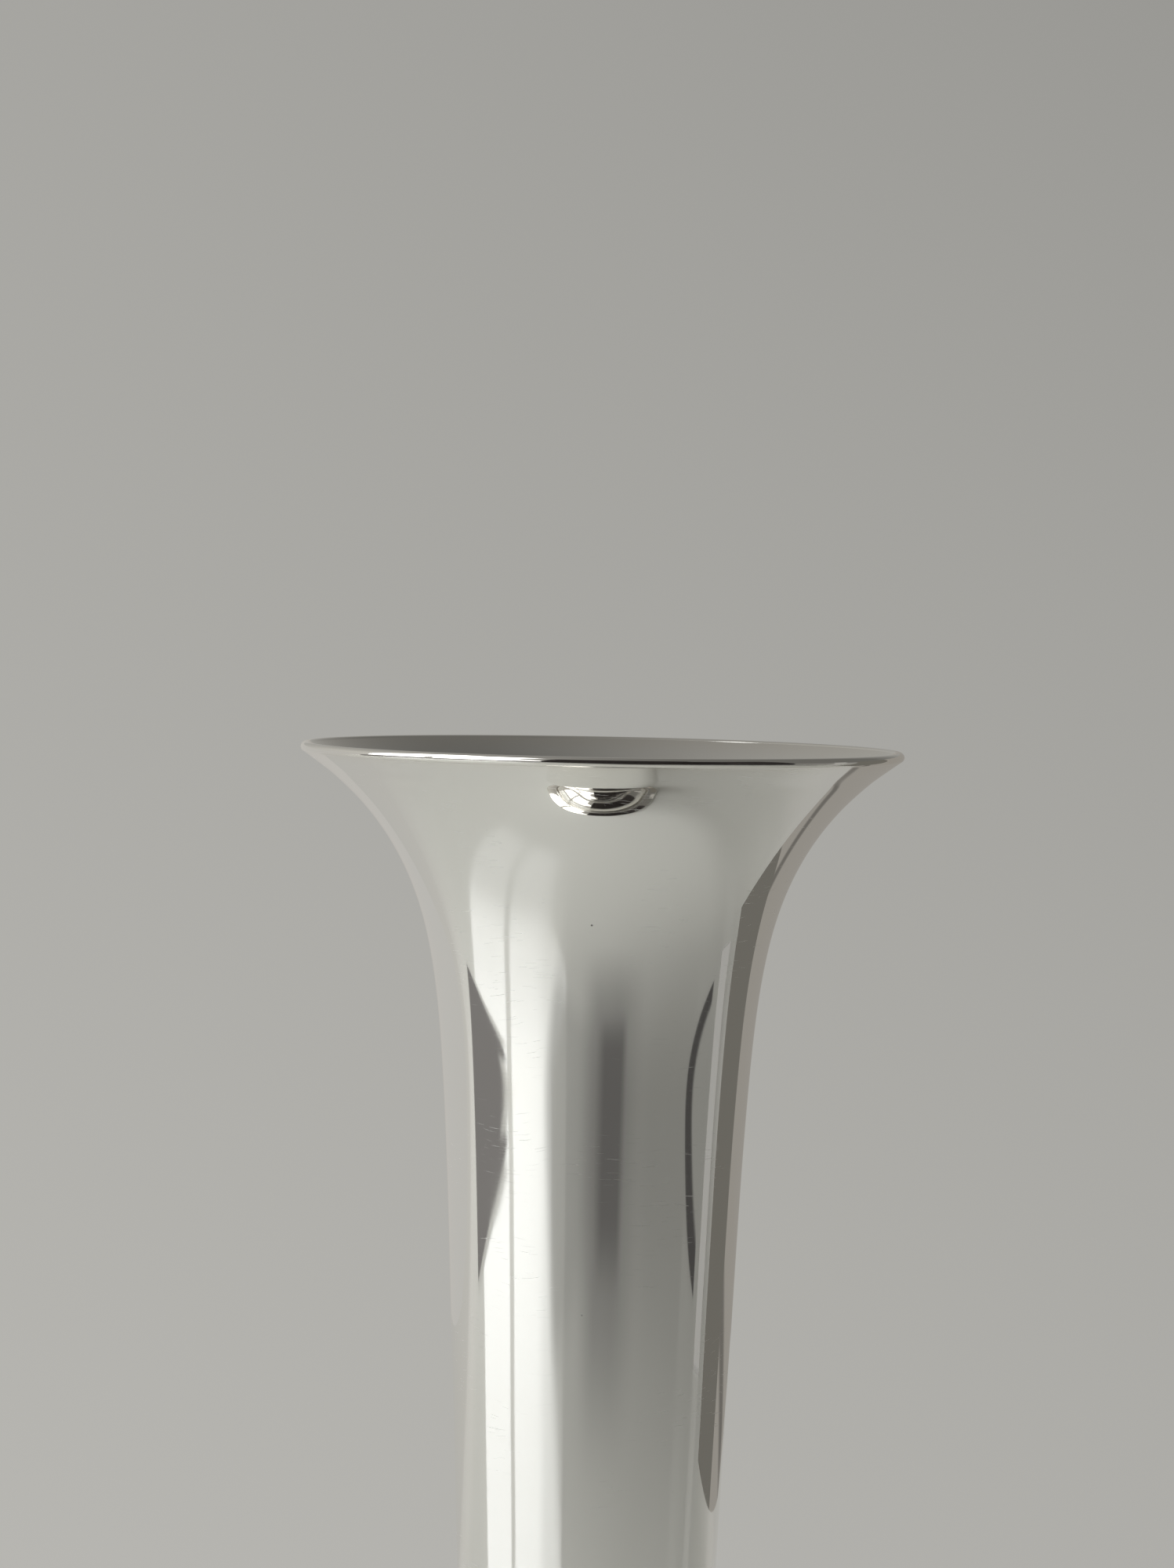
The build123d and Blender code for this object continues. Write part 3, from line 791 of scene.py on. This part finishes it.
def painted_floor_shade():
    """What the polished wall mirrors of the floor, as painted shade and painted reflection: full near the vase, dark
    beyond the light.
    """
    n = Nodes("floor_painted_shade")
    axes = n.new("ShaderNodeSeparateXYZ")
    n.link(n.new("ShaderNodeTexCoord").outputs["Object"], axes.inputs[0])
    x, y, _z = axes.outputs
    far = n.math("SQRT", n.math("ADD", n.math("MULTIPLY", x, x), n.math("MULTIPLY", y, y)))
    turn = n.math("ARCTAN2", x, n.math("MULTIPLY", y, -1.0))
    # Left field of painted dark reflection beyond the floor: a bowed edge, drawn back where it is farthest.
    ahead, behind = n.math("MAXIMUM", n.math("ADD", y, 0.06), 0.0), n.math("MINIMUM", n.math("ADD", y, 0.06), 0.0)
    edge = n.math("MULTIPLY_ADD", n.math("MULTIPLY", ahead, ahead), -2.3, n.math("ADD", x, 0.4345))
    edge = n.math("MULTIPLY_ADD", n.math("MULTIPLY", behind, behind), -1.0, edge)
    edge = n.math("ADD", edge, n.ramp(far, 0.453, 0.468, 0.0, 0.021))
    left = n.math("MULTIPLY", n.ramp(edge, -0.003, 0.003, 1.0, 0.0), n.ramp(turn, -1.81, -1.79))
    # Right field: a band of painted dark reflection beyond the floor on the right.
    edge = n.math("MULTIPLY_ADD", y, 0.486, n.math("SUBTRACT", x, 0.3584))
    right = n.math("MULTIPLY", n.ramp(edge, 0.003, 0.012), n.ramp(edge, 0.044, 0.066, 1.0, 0.0))
    right = n.math("MULTIPLY", right, n.math("MULTIPLY", n.ramp(x, 0.1, 0.2), n.ramp(turn, 1.53, 1.56, 1.0, 0.0)))
    # Painted shadow and painted dark reflection in front: a dark core, a broad soft shade, and a wide shade towards
    # the right that deepens with distance.
    front_shade = n.math("MULTIPLY", n.ramp(turn, -0.02, 0.12), n.ramp(turn, 0.30, 0.40, 1.0, 0.0))
    front_shade = n.math("MULTIPLY", front_shade, n.ramp(far, 0.33, 0.40, 0.0, 0.72))
    broad_shade = n.math("MULTIPLY", n.ramp(turn, -0.25, 0.05), n.ramp(turn, 0.22, 0.65, 1.0, 0.0))
    broad_shade = n.math("MULTIPLY", broad_shade, n.ramp(far, 0.20, 0.36, 0.0, 0.47))
    start = n.math("MULTIPLY_ADD", n.math("SUBTRACT", far, 0.3), 0.8, turn)
    wide_shade = n.math("MULTIPLY", n.ramp(start, -0.60, -0.45), n.ramp(turn, 1.5, 2.2, 1.0, 0.0))
    depth = n.math("ADD", n.ramp(far, 0.08, 0.32, 0.0, 0.20), n.ramp(n.math("MULTIPLY_ADD", turn, -0.15, far), 0.33, 0.42, 0.0, 0.16))
    wide_shade = n.math("MULTIPLY", wide_shade, depth)
    clear = n.math("MULTIPLY", n.math("SUBTRACT", 1.0, front_shade), n.math("SUBTRACT", 1.0, broad_shade))
    clear = n.math("MULTIPLY", clear, n.math("SUBTRACT", 1.0, wide_shade))
    # The painted shade is a dark glow mixed over a clear card, seen only in glossy rays.
    painted_shade = n.math("MAXIMUM", n.math("MAXIMUM", left, right), n.math("SUBTRACT", 1.0, clear))
    shade_level = n.math("MINIMUM", n.ramp(x, -0.42, -0.25, 0.20, 0.085), n.ramp(x, 0.0, 0.3, 0.20, 0.06))
    out = n.tree.nodes["Material Output"]
    clear, shade_glow, mixed = n.new("ShaderNodeBsdfTransparent"), n.new("ShaderNodeEmission"), n.new("ShaderNodeMixShader")
    shade_glow.inputs[0].default_value = rgb(1.0, 0.96, 0.93)
    n.link(shade_level, shade_glow.inputs[1])
    n.link(painted_shade, mixed.inputs[0])
    n.link(clear.outputs[0], mixed.inputs[1])
    n.link(shade_glow.outputs[0], mixed.inputs[2])
    n.link(mixed.outputs[0], out.inputs[0])
    n.tree.nodes.remove(n.bsdf)
    return n.mat


# A glossy-only card just above the floor carries the painted shade; it casts no shadow.
floor_shade_card = card(
    "floor_shade_card", [(-2, -2, 0.0015), (2, -2, 0.0015), (2, 0.19, 0.0015), (-2, 0.19, 0.0015)], painted_floor_shade(), diffuse=False
)
floor_shade_card.visible_shadow = False
floor_shade_card.visible_transmission = False

soft_white = soft_glow()
upright("softbox_left", -97, -69.2, 1.15, 0.1, SOFT_TOP, soft_white)
ends = [Vector((1.15 * math.sin(math.radians(a)), -1.15 * math.cos(math.radians(a)))) for a in (-68.6, -21)]


def on_front(az, z):
    """A corner of the front softbox, on its plane at an azimuth."""
    run, aim = ends[1] - ends[0], Vector((math.sin(math.radians(az)), -math.cos(math.radians(az))))
    t = (ends[0].y * aim.x - ends[0].x * aim.y) / (run.x * aim.y - run.y * aim.x)
    return (*(ends[0] + t * run), z)


card(
    "softbox_front",
    [
        on_front(*c)
        for c in (
            (-65.2, 0.1), (-33, 0.1), (-33, 0.18), (-27.5, 0.235), (-23.5, 0.30), (-21, 0.37),
            (-24, 0.46), (-34, 0.66), (-34, SOFT_TOP), (-65.2, SOFT_TOP),
        )
    ],
    soft_white,
)

# Pale glowing cards stand behind as a painted reflection of a lit wall, warmer and with painted shade darker to the
# right, and a painted shadow line low down towards the corner. A card of painted shade closes the corner, and a narrow
# bright glowing one follows it.
def reflector(name, lo, hi, left, right, line=0.0):
    n = Nodes(name)
    axes, light = n.new("ShaderNodeSeparateXYZ"), n.new("ShaderNodeEmission")
    n.link(n.new("ShaderNodeTexCoord").outputs["Object"], axes.inputs[0])
    x, _y, z = axes.outputs
    n.link(n.mix(n.ramp(x, -0.3, 0.12), rgb(*left), rgb(*right)), light.inputs[0])
    level = n.ramp(x, -0.15, 0.12, lo, hi)
    # Painted shadow line low down towards the corner.
    if line:
        off = n.math("ABSOLUTE", n.math("SUBTRACT", z, n.math("MULTIPLY_ADD", x, 0.5, -0.0545)))
        low = n.math("MULTIPLY", n.ramp(off, 0.003, 0.011, line, 0.0), n.ramp(x, 0.112, 0.130))
        level = n.math("MULTIPLY", level, n.math("SUBTRACT", 1.0, low))
    n.link(level, light.inputs[1])
    n.link(light.outputs[0], n.tree.nodes["Material Output"].inputs[0])
    n.tree.nodes.remove(n.bsdf)
    return n.mat


COOL, WARM, OLIVE = (1.0, 0.985, 0.945), (1.0, 0.945, 0.86), (1.0, 0.955, 0.85)
BACK = ((-1.4, 0.20), (-0.40, 0.222), (-0.31, 0.26), (-0.12, 0.42), (0.09, 0.42), (0.12, 0.225), CORNER)
pale = reflector("reflector_pale", 0.515, 0.30, COOL, WARM, line=0.5)
shaded = reflector("reflector_shaded", 0.15, 0.15, OLIVE, OLIVE)
spans = [(a, b, pale) for a, b in zip(BACK[:-1], BACK[1:])] + [(CORNER, SIDE_END, shaded)]
for k, (a, b, mat) in enumerate(spans):
    made = card("reflector_%d" % k, [(*a, 0.0), (*b, 0.0), (*b, 0.2), (*a, 0.2)], mat, diffuse=False)
    made.visible_shadow = False
bright = reflector("reflector_bright", 0.37, 0.37, COOL, COOL)
strip = upright("reflector_strip", 92.6, 99.6, 0.32, 0.0, 0.2, bright, diffuse=False)
strip.visible_shadow = False
dark = paint("flag_dark", (0.045, 0.04, 0.04))
upright("flag_front", -22, 40, 0.62, 0.0, 0.9, dark)
upright("flag_right", 40, 75, 0.75, 0.0, 0.9, dark)

world = bpy.data.worlds.new("studio")
scene.world = world
world.use_nodes = True


class WorldNodes(Nodes):
    def __init__(self):
        self.tree = world.node_tree


w = WorldNodes()
aim = w.new("ShaderNodeSeparateXYZ")
w.link(w.new("ShaderNodeTexCoord").outputs["Generated"], aim.inputs[0])
back = w.tree.nodes["Background"]
back.inputs[0].default_value = rgb(*SURROUND)
w.link(surround_level(w, aim.outputs[0], aim.outputs[2]), back.inputs[1])

# ------------------------------------------------------------------ camera
LONG = 2000.0
pitch, roll, yaw = (math.radians(v) for v in (2.579, 1.13, -0.218))
ahead = Vector((math.sin(yaw) * math.cos(pitch), math.cos(yaw) * math.cos(pitch), -math.sin(pitch)))
level = Vector((math.cos(yaw), -math.sin(yaw), 0))
up = level.cross(ahead)
right = math.cos(roll) * level + math.sin(roll) * up
top = -math.sin(roll) * level + math.cos(roll) * up
view = Matrix((right, top, -ahead)).transposed().to_4x4()
view.translation = Vector(EYE)
camera = bpy.data.objects.new("camera", bpy.data.cameras.new("camera"))
scene.collection.objects.link(camera)
camera.data.sensor_width = 36.0
camera.data.lens = FOCAL / LONG * 36.0
camera.data.clip_start = 0.01
camera.matrix_world = view
scene.camera = camera
